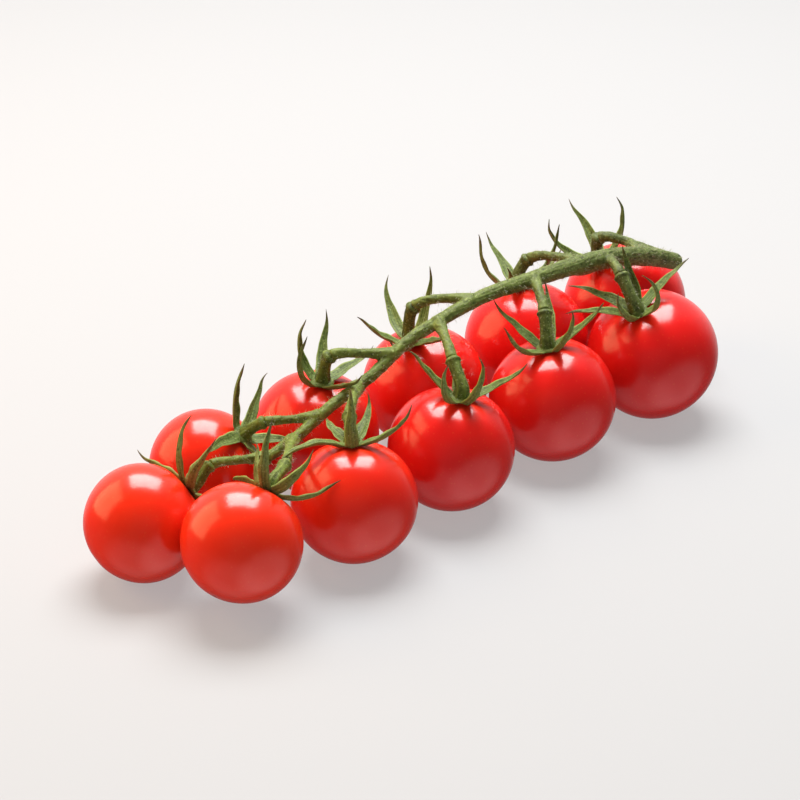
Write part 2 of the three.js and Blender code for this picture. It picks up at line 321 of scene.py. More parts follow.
ball = bmesh.new()
bmesh.ops.create_icosphere(ball, subdivisions=BALL_DIVISIONS, radius=1)
BALL_POINTS = np.array([v.co for v in ball.verts])
BALL_FACES = [[v.index for v in f.verts] for f in ball.faces]
ball.free()

place_of = {number: fruit_place(number) for number in FRUITS}


def tomato(number):
    place = place_of[number]
    seed = int(number)
    from_stem = np.arccos(np.clip(BALL_POINTS[:, 2], -1, 1))
    turn = np.arctan2(BALL_POINTS[:, 1], BALL_POINTS[:, 0])
    furrows = 0.5 + 0.5 * np.cos(FURROWS * turn + seed)
    reach = np.ones(len(from_stem))
    reach -= DIMPLE * bell(from_stem / DIMPLE_ANGLE)
    reach -= FURROW * furrows * bell(from_stem / FURROW_ANGLE - FURROW_PEAK)
    reach -= SCAR * bell((math.pi - from_stem) / SCAR_ANGLE)
    reach += UNEVENNESS * lumps(BALL_POINTS, SWELLING_SIZE, seed)
    shape = BALL_POINTS * reach[:, None] * place.radius
    points = place.centre + np.outer(shape[:, 0], place.across) + np.outer(shape[:, 1], place.along)
    points += np.outer(shape[:, 2] * SQUAT, place.axis)
    points[:, 2] = np.maximum(points[:, 2], 0)
    piece = mesh_piece(f"fruit_{number}", points, BALL_FACES)
    mark(piece.data, "from_stem", from_stem / math.pi)
    mark(piece.data, "ripeness", np.full(len(from_stem), RIPENESS[number]))
    return piece


def skin_material():
    material, tree, shader = new_material("tomato_skin")
    uneven = clouds(tree, PATCH_SCALE, detail=3)
    ripeness = maths(tree, "SUBTRACT", stored(tree, "ripeness"), PATCHINESS / 2)
    redness = maths(tree, "MULTIPLY_ADD", uneven, PATCHINESS, ripeness)
    red = ramp(tree, redness, (0, ORANGE_RED), (1, DEEP_RED), easing="EASE")

    # a paler, more yellow ring close to the calyx, and the brown point of the blossom scar
    from_stem = stored(tree, "from_stem")
    crown = maths(tree, "MULTIPLY", ramp(tree, from_stem, (0.03, grey(1)), (0.19, grey(0))), CROWN_SHARE)
    crowned = blend(tree, crown, red, CROWN_COLOUR)
    scar = ramp(tree, from_stem, (0.986, grey(0)), (0.992, grey(1)))
    scarred = blend(tree, scar, crowned, SCAR_BROWN)

    # tiny pale freckles under the skin, and pores too fine to see singly
    freckles = spots(tree, FRECKLE_SCALE, 0.22, 0.05, FRECKLE_SHARE)
    finish = {
        "Base Color": blend(tree, freckles, scarred, FRECKLE_COLOUR),
        "Roughness": rescaled(tree, uneven, 0.15, 0.25),
        "Normal": relief(tree, clouds(tree, PORE_SCALE), 0.12, 0.0001),
        "Specular IOR Level": 0.36,
        "Subsurface Weight": 0.3,
        "Subsurface Radius": (1.0, 0.12, 0.06),
        "Subsurface Scale": 0.005,
    }
    feed(tree, shader, finish)
    return material


skin = skin_material()
for number in FRUITS:
    fruit = tomato(number)
    fruit.data.materials.append(skin)
    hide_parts(f"tomato_{number}")
    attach(fruit, "root")

# --------------------------------------------------------------------------------------------------
# The calyxes
#
# A green star on the stem end of each fruit, grown as one piece: a small fleshy disc, and long narrow
# sepals out of its rim. A sepal is channelled above and keeled below, with thin pale edges, parallel
# veins and a dried, brown point that hooks to one side.
# --------------------------------------------------------------------------------------------------

SEPAL_RINGS = 34
RING_SPACING = 1.05
TOP_POINTS = 11
FOOT_POINTS = 7
RING_POINTS = TOP_POINTS + FOOT_POINTS
EDGE_THICKNESS = 0.00012
ROOT_REACH = 0.4
NEEDLE_WIDTH = 0.12
NEEDLE_POINT = 0.00025
THREAD = 0.0009
HOOK = 0.0013
SHORTEST_HOOK = 0.3
HOOK_START = 0.8
# how far the edges waver, sway and roll, and how fast: the speeds are in radians over a sepal's length
WAVER = 0.04
WAVER_SPEED = 17
FINE_WAVER = 0.6
FINE_WAVER_SPEED = 31
SWAY = 0.00012
SWAY_SPEED = 13
ROLL = 0.00014
ROLL_SPEED = 21
MIDRIB = 0.00012
MIDRIB_WIDTH = 0.16
KEEL = MIDRIB * 1.6
KEEL_WIDTH = 0.22
KEEL_ROUNDNESS = 1.6
# a sepal thinner than this has a weaker midrib and keel
FULL_THICKNESS = 0.0004
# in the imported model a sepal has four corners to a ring, and as many edges meet at its tip
CORNERS = 4

# the disc's outline: its radius in metres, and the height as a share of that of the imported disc
DISC_OUTLINE = [
    (0, 0.12),
    (0.0021, 0.05),
    (0.0028, 0.3),
    (0.0029, 0.6),
    (0.0026, 0.9),
    (0.0019, 1.12),
    (0, 1.2),
]
DISC_TURNS = 40

PALE_FLECK = (0.26, 0.31, 0.1, 1)
DARK_SPECK = (0.018, 0.022, 0.006, 1)
SEPAL_LIGHT = (0.16, 0.215, 0.05, 1)
SEPAL_DARK = (0.024, 0.04, 0.006, 1)
SEPAL_EDGE = (0.22, 0.27, 0.07, 1)
SEPAL_POINT = (0.075, 0.05, 0.028, 1)
SEPAL_BLOTCH_SCALE = 1300
VEIN_CLOSENESS = 15
VEIN_WANDER = 7
VEIN_WANDER_SCALE = 260
VEIN_CONTRAST = 0.3
PATCHES_SCALE = 190
FLECK_SCALE = 1100
SPECK_SCALE = 760
# how far red, green and blue light goes under the green skin, as shares
GREEN_GLOW = (0.5, 1.0, 0.2)
GREEN_GLOSS = 0.15


def sepals_of(number):
    """Each sepal of a CAD calyx: rings of left, top, right and foot corners, root first, and its tip."""
    star = merged(f"calyx_{number}")
    place = place_of[number]
    hubs = set(sorted(star.verts, key=lambda v: -len(v.link_edges))[:2])
    sepals = []
    for tip in star.verts:
        if len(tip.link_edges) != CORNERS:
            continue
        seen = {tip}
        ring = [tip]
        rings = []
        while not any(e.other_vert(v) in hubs for v in ring for e in v.link_edges):
            ring = {e.other_vert(v) for v in ring for e in v.link_edges} - seen
            seen |= ring
            rings.append([np.array(v.co) for v in ring])
        rings.reverse()
        outward = np.mean(rings[0], axis=0) - place.centre
        up = place.axis
        left = np.cross(up, outward)
        sorted_rings = []
        for corners in rings:
            pairs = [(a, b) for a in range(CORNERS) for b in range(a + 1, CORNERS)]
            a, b = max(pairs, key=lambda p: np.linalg.norm(corners[p[0]] - corners[p[1]]))
            c, d = [i for i in range(CORNERS) if i not in (a, b)]
            if (corners[a] - corners[b]) @ left < 0:
                a, b = b, a
            if (corners[c] - corners[d]) @ up < 0:
                c, d = d, c
            left = corners[a] - corners[b]
            up = corners[c] - corners[d]
            sorted_rings.append([corners[a], corners[c], corners[b], corners[d]])
        sepals.append((np.array(sorted_rings), np.array(tip.co)))
    hub_points = np.array([v.co for v in hubs])
    star.free()
    return sepals, hub_points


def sepal_shape(rings, tip, hub, seed):
    """A sepal's points, its faces, and how far each point is along, across and towards the upper side."""
    root = hub + (rings[0] - hub) * ROOT_REACH
    beyond = tip + unit(tip - rings[-1].mean(0)) * THREAD
    needle = beyond + (rings[-1] - rings[-1].mean(0)) * NEEDLE_WIDTH
    control = np.concatenate([root[None], rings, needle[None]])
    stations = distances_along(control.mean(1))
    stations /= stations[-1]
    along = np.linspace(0, 1, SEPAL_RINGS) ** RING_SPACING
    left, top, right, foot = [through(control[:, i], stations, along) for i in range(CORNERS)]
    side = left - right
    width = np.linalg.norm(side, axis=1)[:, None]
    side /= width
    up = top - foot
    up -= (up * side).sum(1)[:, None] * side
    thick = np.linalg.norm(up, axis=1)
    up /= thick[:, None]
    middle = (left + right) / 2
    sag = ((middle - top) * up).sum(1)

    # the edges waver, and roll in and out a little
    random = np.random.default_rng(seed)
    phase = random.uniform(0, 2 * math.pi, 4)
    fade = np.sin(math.pi * along) ** 0.7
    waver = np.sin(along * WAVER_SPEED + phase[0])
    waver += FINE_WAVER * np.sin(along * FINE_WAVER_SPEED + phase[1])
    half_width = width[:, 0] * (1 + WAVER * waver * fade) / 2
    middle = middle + side * (SWAY * np.sin(along * SWAY_SPEED + phase[2]) * fade)[:, None]
    roll = ROLL * np.sin(along * ROLL_SPEED + phase[3]) * fade

    # the dried point is drawn out to a thread that hooks to one side
    turn_of_hook = random.uniform(0, 2 * math.pi)
    past_start = np.clip(along - HOOK_START, 0, 1) / (1 - HOOK_START)
    hook = HOOK * random.uniform(SHORTEST_HOOK, 1) * past_start[:, None] ** 2
    middle = middle + hook * (side * math.cos(turn_of_hook) + up * math.sin(turn_of_hook))

    points = []
    marks = []
    for i in range(SEPAL_RINGS):
        strength = min(1, thick[i] / FULL_THICKNESS)
        for j in range(RING_POINTS):
            if j < TOP_POINTS:
                a = 1 - 2 * j / (TOP_POINTS - 1)
                channel = sag[i] * (1 - a * a) + MIDRIB * strength * bell(a / MIDRIB_WIDTH)
                height = EDGE_THICKNESS / 2 - channel
                upper = 1.0
            else:
                a = -1 + 2 * (j - TOP_POINTS + 1) / (FOOT_POINTS + 1)
                body = (1 - abs(a) ** KEEL_ROUNDNESS) * (sag[i] + thick[i])
                height = -EDGE_THICKNESS / 2 - body - KEEL * strength * bell(a / KEEL_WIDTH)
                upper = 0.0
            height += roll[i] * a * a
            points.append(middle[i] + side[i] * (a * half_width[i]) + up[i] * height)
            marks.append((along[i], a, upper))
    points.append(middle[0])
    marks.append((0, 0, 1))
    points.append(middle[-1] + unit(middle[-1] - middle[-2]) * NEEDLE_POINT)
    marks.append((1, 0, 1))
    faces = []
    for i in range(SEPAL_RINGS - 1):
        for a, b in around(i * RING_POINTS, RING_POINTS):
            faces.append((a, b, b + RING_POINTS, a + RING_POINTS))
    root_point = SEPAL_RINGS * RING_POINTS
    to_last = root_point - RING_POINTS
    for a, b in around(0, RING_POINTS):
        faces.append((b, a, root_point))
        faces.append((a + to_last, b + to_last, root_point + 1))
    return points, faces, marks


def disc_shape(place, hub_foot, hub_top):
    """The fleshy middle of the star, a low turned disc."""
    height = np.linalg.norm(hub_top - hub_foot)
    points = [hub_foot + place.axis * height * DISC_OUTLINE[0][1]]
    for reach, level in DISC_OUTLINE[1:-1]:
        for i in range(DISC_TURNS):
            turn = 2 * math.pi * i / DISC_TURNS
            spoke = place.across * math.cos(turn) + place.along * math.sin(turn)
            points.append(hub_foot + spoke * reach + place.axis * height * level)
    points.append(hub_foot + place.axis * height * DISC_OUTLINE[-1][1])
    rings = len(DISC_OUTLINE) - 2
    to_last = (rings - 1) * DISC_TURNS
    faces = []
    for a, b in around(1, DISC_TURNS):
        faces.append((0, b, a))
        for step in range(0, to_last, DISC_TURNS):
            faces.append((a + step, b + step, b + step + DISC_TURNS, a + step + DISC_TURNS))
        faces.append((a + to_last, b + to_last, len(points) - 1))
    marks = [(0.0, 0.0, 1.0)] * len(points)
    return points, faces, marks


# where each fruit's sepals leave the disc, for the ribs of its stalk
sepal_roots = {}


def calyx(number):
    sepals, hub_points = sepals_of(number)
    place = place_of[number]
    hub_foot, hub_top = sorted(hub_points, key=lambda p: p @ place.axis)
    hub = (hub_foot + hub_top) / 2
    sepal_roots[number] = [rings[0].mean(0) for rings, tip in sepals]
    points, faces, marks = disc_shape(place, hub_foot, hub_top)
    for i, (rings, tip) in enumerate(sepals):
        more_points, more_faces, more_marks = sepal_shape(rings, tip, hub, int(number) * 10 + i)
        start = len(points)
        points += more_points
        faces += [tuple(index + start for index in face) for face in more_faces]
        marks += more_marks
    piece = mesh_piece(f"star_{number}", points, faces)
    for name, values in zip(("along", "across", "upper"), zip(*marks)):
        mark(piece.data, name, values)
    return piece


def mottle_group():
    """The blotched, speckled colour and relief of green plant skin, for every green material."""
    tree, given, result = group_of(
        "plant_mottle",
        "ShaderNodeTree",
        [
            ("Light", "NodeSocketColor", SEPAL_LIGHT),
            ("Dark", "NodeSocketColor", SEPAL_DARK),
            ("Shade", "NodeSocketFloat", 0.5),
            ("Blotch Scale", "NodeSocketFloat", SEPAL_BLOTCH_SCALE),
        ],
        [("Color", "NodeSocketColor"), ("Height", "NodeSocketFloat"), ("Roughness", "NodeSocketFloat")],
    )
    given = given.outputs

    # small blotches over larger patches share the skin between its dark and light green
    blotches = clouds(tree, given["Blotch Scale"], detail=4, roughness=0.6)
    contrast = rescaled(tree, blotches, 0, 1, 0.32, 0.68)
    patches = maths(tree, "MULTIPLY_ADD", clouds(tree, PATCHES_SCALE), 0.5, -0.3)
    mottle = maths(tree, "MULTIPLY_ADD", contrast, 0.55, patches)
    shade = maths(tree, "MULTIPLY_ADD", given["Shade"], 0.6, mottle, clamp=True)
    green = blend(tree, shade, given["Dark"], given["Light"])
    flecked = blend(tree, spots(tree, FLECK_SCALE, 0.3, 0.12, 0.65), green, PALE_FLECK)
    specked = blend(tree, spots(tree, SPECK_SCALE, 0.26, 0.104, 0.7), flecked, DARK_SPECK)
    roughness = rescaled(tree, blotches, 0.62, 0.42)
    feed(tree, result, {"Color": specked, "Height": blotches, "Roughness": roughness})
    return tree


plant_mottle = mottle_group()


def leaf_material():
    material, tree, shader = new_material("sepal_green")
    along, across, upper = [stored(tree, name) for name in ("along", "across", "upper")]

    # parallel veins run from the root to the tip, wandering a little, and the lower side is paler: partly a
    # sepal's own paler underside, partly painted light that lifts the shaded underside
    drift = maths(tree, "MULTIPLY", clouds(tree, VEIN_WANDER_SCALE), VEIN_WANDER)
    veins = maths(tree, "SINE", maths(tree, "MULTIPLY_ADD", across, VEIN_CLOSENESS, drift))
    shade = maths(tree, "MULTIPLY_ADD", veins, VEIN_CONTRAST, rescaled(tree, upper, 0.75, 0.4))
    greens = {"Light": SEPAL_LIGHT, "Dark": SEPAL_DARK, "Blotch Scale": SEPAL_BLOTCH_SCALE, "Shade": shade}
    green = add(tree, "ShaderNodeGroup", greens, node_tree=plant_mottle)

    # the midrib and the edges are pale, and the point is dry
    from_midrib = maths(tree, "ABSOLUTE", across)
    edge = ramp(tree, from_midrib, (0, grey(0.25)), (0.14, grey(0)), (0.7, grey(0)), (0.94, grey(0.8)))
    pale_edge = blend(tree, edge, green["Color"], SEPAL_EDGE)
    dry = ramp(tree, along, (0.8, grey(0)), (0.93, grey(0.75)), (1, grey(0.9)))
    finish = {
        "Base Color": blend(tree, dry, pale_edge, SEPAL_POINT),
        "Roughness": green["Roughness"],
        "Normal": relief(tree, green["Height"], 0.5, 0.00012),
        "Specular IOR Level": GREEN_GLOSS,
        "Subsurface Weight": 0.1,
        "Subsurface Radius": GREEN_GLOW,
        "Subsurface Scale": 0.0004,
    }
    feed(tree, shader, finish)
    return material


leaf = leaf_material()
stars = []
for number in FRUITS:
    star = calyx(number)
    star.data.materials.append(leaf)
    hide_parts(f"calyx_{number}")
    stars.append(star)

# --------------------------------------------------------------------------------------------------
# The stem and its arms
#
# One piece, grown as it ripened: the main stem, thick at the cut end and thin at the tip, and the arms
# that it carries in turn to the front and the back. Its skin is finely streaked lengthwise, and the
# joints flow together. The cut end keeps its crisp edge and is a little ragged.
# --------------------------------------------------------------------------------------------------

STEM_GRAIN = 0.0003
# smoothing draws the skin in and lets it out again, so that the stem doesn't thin
STEM_ROUNDS = 16
DRAW_IN = 0.5
LET_OUT = 0.52
LENGTHWISE_ROUNDS = 20
STREAK_ROUNDS = 34
STREAK_KEPT = 0.3
STREAK_LIMIT = 2.5
STREAK_CONTRAST = 0.16
STREAK_SHADE = 0.48
STEM_BLOTCH_SCALE = 700
STREAK_DEPTH = 0.00005
LUMP_DEPTH = 0.00009
LUMP_SIZE = 0.0016
CUT_REACH = 0.007
CUT_RAGGED = 0.00022
CUT_LUMP_SIZE = 0.0005
CUT_DEPTH = 0.0005
CUT_RIM = 0.0016
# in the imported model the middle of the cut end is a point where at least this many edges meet
CAP_EDGES = 12
STREAK_SEED = 3
LUMP_SEED = 5
CUT_SEED = 8

# the stem is fresher and yellower at the tip, and the change is spread over this stretch of it
TIP_X = -0.06
OLD_X = 0.06
TIP_LIGHT = (0.19, 0.245, 0.04, 1)
OLD_LIGHT = (0.155, 0.195, 0.055, 1)
TIP_DARK = (0.04, 0.055, 0.006, 1)
OLD_DARK = (0.028, 0.037, 0.008, 1)
CUT_COLOUR = (0.16, 0.14, 0.08, 1)


def neighbours_of(mesh):
    """Both ends of every edge, each way round."""
    ends = np.zeros(len(mesh.edges) * 2, np.int64)
    mesh.edges.foreach_get("vertices", ends)
    ends = ends.reshape(-1, 2)
    return np.concatenate([ends[:, 0], ends[:, 1]]), np.concatenate([ends[:, 1], ends[:, 0]])


def averaged(values, here, there, weight=None):
    """For each point, the mean of its neighbours' values."""
    weight = np.ones(len(here)) if weight is None else weight
    total = np.bincount(here, weight, len(values))
    if values.ndim == 1:
        return np.bincount(here, weight * values[there], len(values)) / total
    columns = [np.bincount(here, weight * column[there], len(values)) / total for column in values.T]
    return np.stack(columns, axis=1)


def coordinates(mesh):
    flat = np.zeros(len(mesh.vertices) * 3)
    mesh.vertices.foreach_get("co", flat)
    return flat.reshape(-1, 3)


def normals_at(mesh):
    flat = np.zeros(len(mesh.vertices) * 3, np.float32)
    mesh.vertex_normals.foreach_get("vector", flat)
    return flat.reshape(-1, 3).astype(float)


def move_to(mesh, points):
    mesh.vertices.foreach_set("co", points.ravel().astype(np.float32))
    mesh.update()


def lengthwise(normals, here, there):
    """The direction that a stem runs in at each point: the one that no skin around it faces."""
    outer = normals[:, [0, 0, 0, 1, 1, 2]] * normals[:, [0, 1, 2, 1, 2, 2]]
    for _ in range(LENGTHWISE_ROUNDS):
        outer = (outer + averaged(outer, here, there)) / 2
    square = outer[:, [0, 1, 2, 1, 3, 4, 2, 4, 5]].reshape(-1, 3, 3)
    return np.linalg.eigh(square)[1][:, :, 0]


def streaks(points, normals, here, there, seed):
    """Random values drawn out along the stem, by averaging each mostly with its neighbours lengthwise."""
    direction = lengthwise(normals, here, there)
    step = points[there] - points[here]
    step /= np.linalg.norm(step, axis=1)[:, None] + 1e-12
    weight = np.abs((step * direction[here]).sum(1)) ** 8 + 1e-4
    values = np.random.default_rng(seed).normal(size=len(points))
    for _ in range(STREAK_ROUNDS):
        values = STREAK_KEPT * values + (1 - STREAK_KEPT) * averaged(values, here, there, weight)
    values = (values - values.mean()) / values.std()
    return np.clip(values, -STREAK_LIMIT, STREAK_LIMIT)


def stem():
    solid = merged("truss_stem")
    solid.normal_update()
    cap = max((v for v in solid.verts if len(v.link_edges) >= CAP_EDGES), key=lambda v: v.co.x)
    cut_place, cut_normal = np.array(cap.co), np.array(cap.normal)
    mesh = bpy.data.meshes.new("stem_solid")
    solid.to_mesh(mesh)
    solid.free()
    rough = shown("stem_solid", mesh)
    grain = rough.modifiers.new("grain", "REMESH")
    grain.mode = "VOXEL"
    grain.voxel_size = STEM_GRAIN
    evaluated = rough.evaluated_get(bpy.context.evaluated_depsgraph_get())
    fine = bpy.data.meshes.new_from_object(evaluated)
    fine.name = "stem"
    bpy.data.objects.remove(rough)

    # Smoothing makes the arms flow into the stem. It spares the cut end: wholly within its rim's width, and
    # less and less up to twice that.
    here, there = neighbours_of(fine)
    sharp = coordinates(fine)
    inward = (cut_place - sharp) @ cut_normal
    inward[np.linalg.norm(sharp - cut_place, axis=1) > CUT_REACH] = 1
    cut = np.clip(1 - inward / CUT_DEPTH, 0, 1)
    crisp = np.clip(2 - inward / CUT_RIM, 0, 1)
    points = sharp
    for _ in range(STEM_ROUNDS):
        points = points + DRAW_IN * (averaged(points, here, there) - points)
        points = points - LET_OUT * (averaged(points, here, there) - points)
    points = points + (sharp - points) * crisp[:, None]
    move_to(fine, points)

    normals = normals_at(fine)
    streak = streaks(points, normals, here, there, STREAK_SEED)
    move = STREAK_DEPTH * streak + LUMP_DEPTH * lumps(points, LUMP_SIZE, LUMP_SEED)
    move += cut * CUT_RAGGED * lumps(points, CUT_LUMP_SIZE, CUT_SEED)
    move_to(fine, points + normals * move[:, None])
    fine.shade_smooth()
    mark(fine, "streak", streak * STREAK_CONTRAST + STREAK_SHADE)
    mark(fine, "cut", cut)
    return shown("stem", fine)


def stem_material():
    material, tree, shader = new_material("stem_green")
    along = add(tree, "ShaderNodeSeparateXYZ", {0: where(tree)})["X"]
    age = rescaled(tree, along, 0, 1, TIP_X, OLD_X)
    greens = {
        "Light": blend(tree, age, TIP_LIGHT, OLD_LIGHT),
        "Dark": blend(tree, age, TIP_DARK, OLD_DARK),
        "Blotch Scale": STEM_BLOTCH_SCALE,
        # on the stalks the streak value also carries painted shade in the grooves between their ribs
        "Shade": stored(tree, "streak"),
    }
    green = add(tree, "ShaderNodeGroup", greens, node_tree=plant_mottle)
    finish = {
        "Base Color": blend(tree, stored(tree, "cut"), green["Color"], CUT_COLOUR),
        "Roughness": green["Roughness"],
        "Normal": relief(tree, green["Height"], 0.6, 0.0002),
        "Specular IOR Level": GREEN_GLOSS,
        "Subsurface Weight": 0.08,
        "Subsurface Radius": GREEN_GLOW,
        "Subsurface Scale": 0.0005,
    }
    feed(tree, shader, finish)
    return material


stem_green = stem_material()
stem_piece = stem()
stem_piece.data.materials.append(stem_green)
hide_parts("truss_stem")

# --------------------------------------------------------------------------------------------------
# The stalks
#
# Below its knuckle each arm goes on as a thicker stalk, ribbed towards the fruit, where its ribs run
# out into the sepals. The knuckle is a ring with a fine crease round it, where the ripe fruit comes away.
# --------------------------------------------------------------------------------------------------

STALK_RINGS = 56
STALK_TURNS = 45
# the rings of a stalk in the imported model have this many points
CAD_TURNS = 8
KNUCKLE_REACH = 0.00045
KNUCKLE_TAPER = 0.92
FOOT_REACH = 0.0006
FOOT_FLARE = 1.05
LIP = 0.1
LIP_PLACE = 0.0009
LIP_WIDTH = 0.00045
CREASE = 0.12
CREASE_WIDTH = 0.0003
RIB = 0.11
RIB_START = 0.15
RIB_GROWTH = 1.3
RIB_WIDTH = 0.24
RIB_LEVEL = 0.4
GRAIN_DEPTH = 0.012
STALK_BUMP = 0.00004
STALK_BUMP_SIZE = 0.0009
STALK_SHADE = 0.32
# painted light and shade on the ribs: lighter on the ridges, darker in the grooves between them, stronger as
# the ribs grow
RIB_PAINTED_SHADE = 0.2
RIB_PAINTED_SHADE_GROWTH = 3
RIB_PAINTED_SHADE_LEVEL = 0.3
GRAIN_SHADE = 0.12
END_SHADE = 0.5


def stalk_rings(number):
    """The centres and radii of a CAD stalk's rings, from the knuckle to the calyx."""
    solid = merged(f"stalk_{number}")
    fruit_centre = place_of[number].centre
    ends = [v for v in solid.verts if len(v.link_edges) == CAD_TURNS]
    top = max(ends, key=lambda v: np.linalg.norm(np.array(v.co) - fruit_centre))
    seen = {top}
    ring = {top}
    rings = []
    while True:
        ring = {e.other_vert(v) for v in ring for e in v.link_edges} - seen
        if len(ring) < CAD_TURNS:
            break
        seen |= ring
        rings.append(np.array([v.co for v in ring]))
    solid.free()
    centres = np.array([r.mean(0) for r in rings])
    radii = np.array([np.linalg.norm(r - r.mean(0), axis=1).mean() for r in rings])
    return centres, radii


def stalk(number):
    place = place_of[number]
    centres, radii = stalk_rings(number)
    first = centres[0] - unit(centres[1] - centres[0]) * KNUCKLE_REACH
    last = centres[-1] + unit(centres[-1] - centres[-2]) * FOOT_REACH
    centres = np.concatenate([[first], centres, [last]])
    radii = np.concatenate([[radii[0] * KNUCKLE_TAPER], radii, [radii[-1] * FOOT_FLARE]])
    stations = distances_along(centres)
    wanted = np.linspace(0, stations[-1], STALK_RINGS)
    line = through(centres, stations, wanted)
    reach = through(radii[:, None], stations, wanted)[:, 0]
    reach = reach * (1 + LIP * bell((wanted - LIP_PLACE) / LIP_WIDTH))
    reach = reach * (1 - CREASE * bell(wanted / CREASE_WIDTH))
    tangents = np.gradient(line, axis=0)
    tangents /= np.linalg.norm(tangents, axis=1)[:, None]

    # the spokes of the rings, set from the fruit up so that the ribs meet the sepals
    spoke = place.across
    spokes = []
    for tangent in reversed(tangents):
        spoke = unit(spoke - tangent * (spoke @ tangent))
        spokes.append((spoke, np.cross(spoke, tangent)))
    spokes.reverse()

    share = wanted / stations[-1]
    rib_size = RIB * np.clip((share - RIB_START) / (1 - RIB_START), 0, 1) ** RIB_GROWTH
    outward = [root - place.centre for root in sepal_roots[number]]
    ribs = [math.atan2(root @ place.along, root @ place.across) for root in outward]
    grain = np.random.default_rng(int(number)).normal(size=STALK_TURNS)
    grain = (grain + np.roll(grain, 1)) / 1.5
    turns = np.arange(STALK_TURNS) * 2 * math.pi / STALK_TURNS
    from_rib = [(turns - rib + math.pi) % (2 * math.pi) - math.pi for rib in ribs]
    ridge = np.max([bell(angle / RIB_WIDTH) for angle in from_rib], axis=0)
    points = []
    streak = []
    for i, (spoke, other) in enumerate(spokes):
        radius = reach[i] * (1 + rib_size[i] * (ridge - RIB_LEVEL) + GRAIN_DEPTH * grain)
        points += [line[i] + (spoke * math.cos(t) + other * math.sin(t)) * r for t, r in zip(turns, radius)]
        # painted shade: the ribs are lighter and the grooves between them darker, more so as the ribs grow
        contrast = RIB_PAINTED_SHADE + RIB_PAINTED_SHADE_GROWTH * rib_size[i]
        streak += list(STALK_SHADE + contrast * (ridge - RIB_PAINTED_SHADE_LEVEL) + GRAIN_SHADE * grain)
    points = np.array(points)
    points += STALK_BUMP * lumps(points, STALK_BUMP_SIZE, int(number))[:, None] * unit(place.across)
    end_point = len(points)
    points = np.concatenate([points, line[:1], line[-1:]])
    streak += [END_SHADE, END_SHADE]
    faces = []
    for i in range(STALK_RINGS - 1):
        for a, b in around(i * STALK_TURNS, STALK_TURNS):
            faces.append((a, a + STALK_TURNS, b + STALK_TURNS, b))
    to_last = end_point - STALK_TURNS
    for a, b in around(0, STALK_TURNS):
        faces.append((a, b, end_point))
        faces.append((b + to_last, a + to_last, end_point + 1))
    piece = mesh_piece(f"pedicel_{number}", points, faces)
    # the streak value holds the stalk's grain and the painted light and shade of its ribs
    mark(piece.data, "streak", streak)
    mark(piece.data, "cut", np.zeros(len(streak)))
    return piece


pedicels = []
for number in FRUITS:
    pedicel = stalk(number)
    pedicel.data.materials.append(stem_green)
    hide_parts(f"stalk_{number}")
    pedicels.append(pedicel)

# --------------------------------------------------------------------------------------------------
# The fine hairs
#
# Short, soft, pale hairs stand all over the stem and stalks, and more thinly on the sepals. They are
# scattered over the green skin and lean every way.
# --------------------------------------------------------------------------------------------------

HAIR_SIDES = 3
HAIR_POINT = 0.000004
HAIR_LEAN = 0.55
HAIR_TURN = 3.1
SHORTEST_HAIR = 0.35
HAIR_PATCH_SCALE = 300
HAIR_DARK = (0.3, 0.32, 0.16, 1)
HAIR_LIGHT = (0.62, 0.62, 0.45, 1)


def hair_tree():
    """Grows thin cones on the skin that it is given."""
    tree, given, result = group_of(
        "fine_hairs",
        "GeometryNodeTree",
        [
            ("Skin", "NodeSocketGeometry", None),
            ("Hairs Per Square Metre", "NodeSocketFloat", 1e6),
            ("Length", "NodeSocketFloat", 0.0007),
            ("Thickness", "NodeSocketFloat", 0.00005),
            ("Seed", "NodeSocketInt", 1),
            ("Hair Material", "NodeSocketMaterial", None),
        ],
        [("Hairs", "NodeSocketGeometry")],
    )
    given = given.outputs
    seed = given["Seed"]
    density = given["Hairs Per Square Metre"]
    radius = maths(tree, "MULTIPLY", given["Thickness"], 0.5)
    most = Vector((HAIR_LEAN, HAIR_LEAN, HAIR_TURN))
    roots = add(
        tree,
        "GeometryNodeDistributePointsOnFaces",
        {"Mesh": given["Skin"], "Density": density, "Seed": seed},
    )
    cone = add(
        tree,
        "GeometryNodeMeshCone",
        {
            "Vertices": HAIR_SIDES,
            "Radius Top": HAIR_POINT,
            "Radius Bottom": radius,
            "Depth": given["Length"],
        },
    )
    lean = add(
        tree,
        "FunctionNodeRandomValue",
        {0: -most, 1: most, "Seed": seed},
        data_type="FLOAT_VECTOR",
    )
    turn = add(
        tree,
        "FunctionNodeRotateRotation",
        {0: roots["Rotation"], 1: lean[0]},
        rotation_space="LOCAL",
    )
    size = add(
        tree,
        "FunctionNodeRandomValue",
        {2: SHORTEST_HAIR, 3: 1.0, "Seed": seed},
        data_type="FLOAT",
    )
    standing = add(
        tree,
        "GeometryNodeInstanceOnPoints",
        {"Points": roots["Points"], "Instance": cone["Mesh"], "Rotation": turn[0], "Scale": size[1]},
    )
    real = add(tree, "GeometryNodeRealizeInstances", {"Geometry": standing["Instances"]})
    coloured = add(
        tree,
        "GeometryNodeSetMaterial",
        {"Geometry": real["Geometry"], "Material": given["Hair Material"]},
    )
    feed(tree, result, {"Hairs": coloured["Geometry"]})
    return tree


def hair_material():
    material, tree, shader = new_material("pale_hair")
    colour = blend(tree, clouds(tree, HAIR_PATCH_SCALE), HAIR_DARK, HAIR_LIGHT)
    feed(tree, shader, {"Base Color": colour, "Roughness": 0.45})
    return material


fine_hairs = hair_tree()
pale_hair = hair_material()


